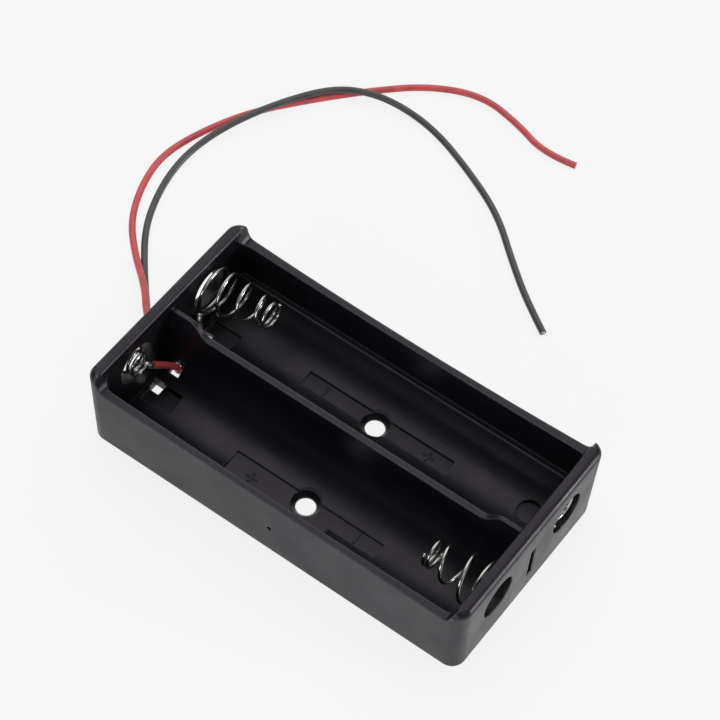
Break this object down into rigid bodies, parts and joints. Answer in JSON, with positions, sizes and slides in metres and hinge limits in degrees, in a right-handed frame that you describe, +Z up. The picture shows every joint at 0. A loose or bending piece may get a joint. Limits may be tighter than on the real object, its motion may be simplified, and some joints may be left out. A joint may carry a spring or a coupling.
{
  "type": "cylindrical cell holder",
  "caption": "Open moulded tray for cylindrical cells side by side, with wire spring contacts on the end walls, a thin divider and loose red and black leads.",
  "frame": {"origin": "centre of the tray's footprint, on the surface it lies on", "axes": "+X along the cells, away from the end where the leads leave; +Y across the cells, towards the channel with the lead end's spring; +Z up, out of the open side"},
  "size_m": [0.1062, 0.1045, 0.018],
  "materials": {
    "tray_plastic": "satin black moulding",
    "contact_wire": "bright nickel plating",
    "red_insulation": "soft gloss",
    "black_insulation": "soft gloss",
    "solder": "smooth, slightly dull"
  },
  "bodies": {
    "holder": {"tray": "tray_plastic", "positive_coil": "contact_wire", "link_coil": "contact_wire", "red_lead": "red_insulation", "black_lead": "black_insulation", "red_lead_tail": "red_insulation", "black_lead_tail": "black_insulation", "series_link": "contact_wire", "red_solder": "solder", "black_solder": "solder", "link_coil_solder": "solder", "link_spring_solder": "solder"},
    "lead_end_spring": {"negative_spring": "contact_wire"},
    "plain_end_spring": {"link_spring": "contact_wire"}
  },
  "joints": [
    {"name": "negative_spring_press", "type": "slide", "parent": "holder", "child": "lead_end_spring", "axis": [-1, 0, 0], "range_m": [0, 0.0085], "stiffness_N_per_m": 800, "deforming": ["negative_spring"]},
    {"name": "link_spring_press", "type": "slide", "parent": "holder", "child": "plain_end_spring", "axis": [1, 0, 0], "range_m": [0, 0.007], "stiffness_N_per_m": 800, "deforming": ["link_spring"]}
  ]
}
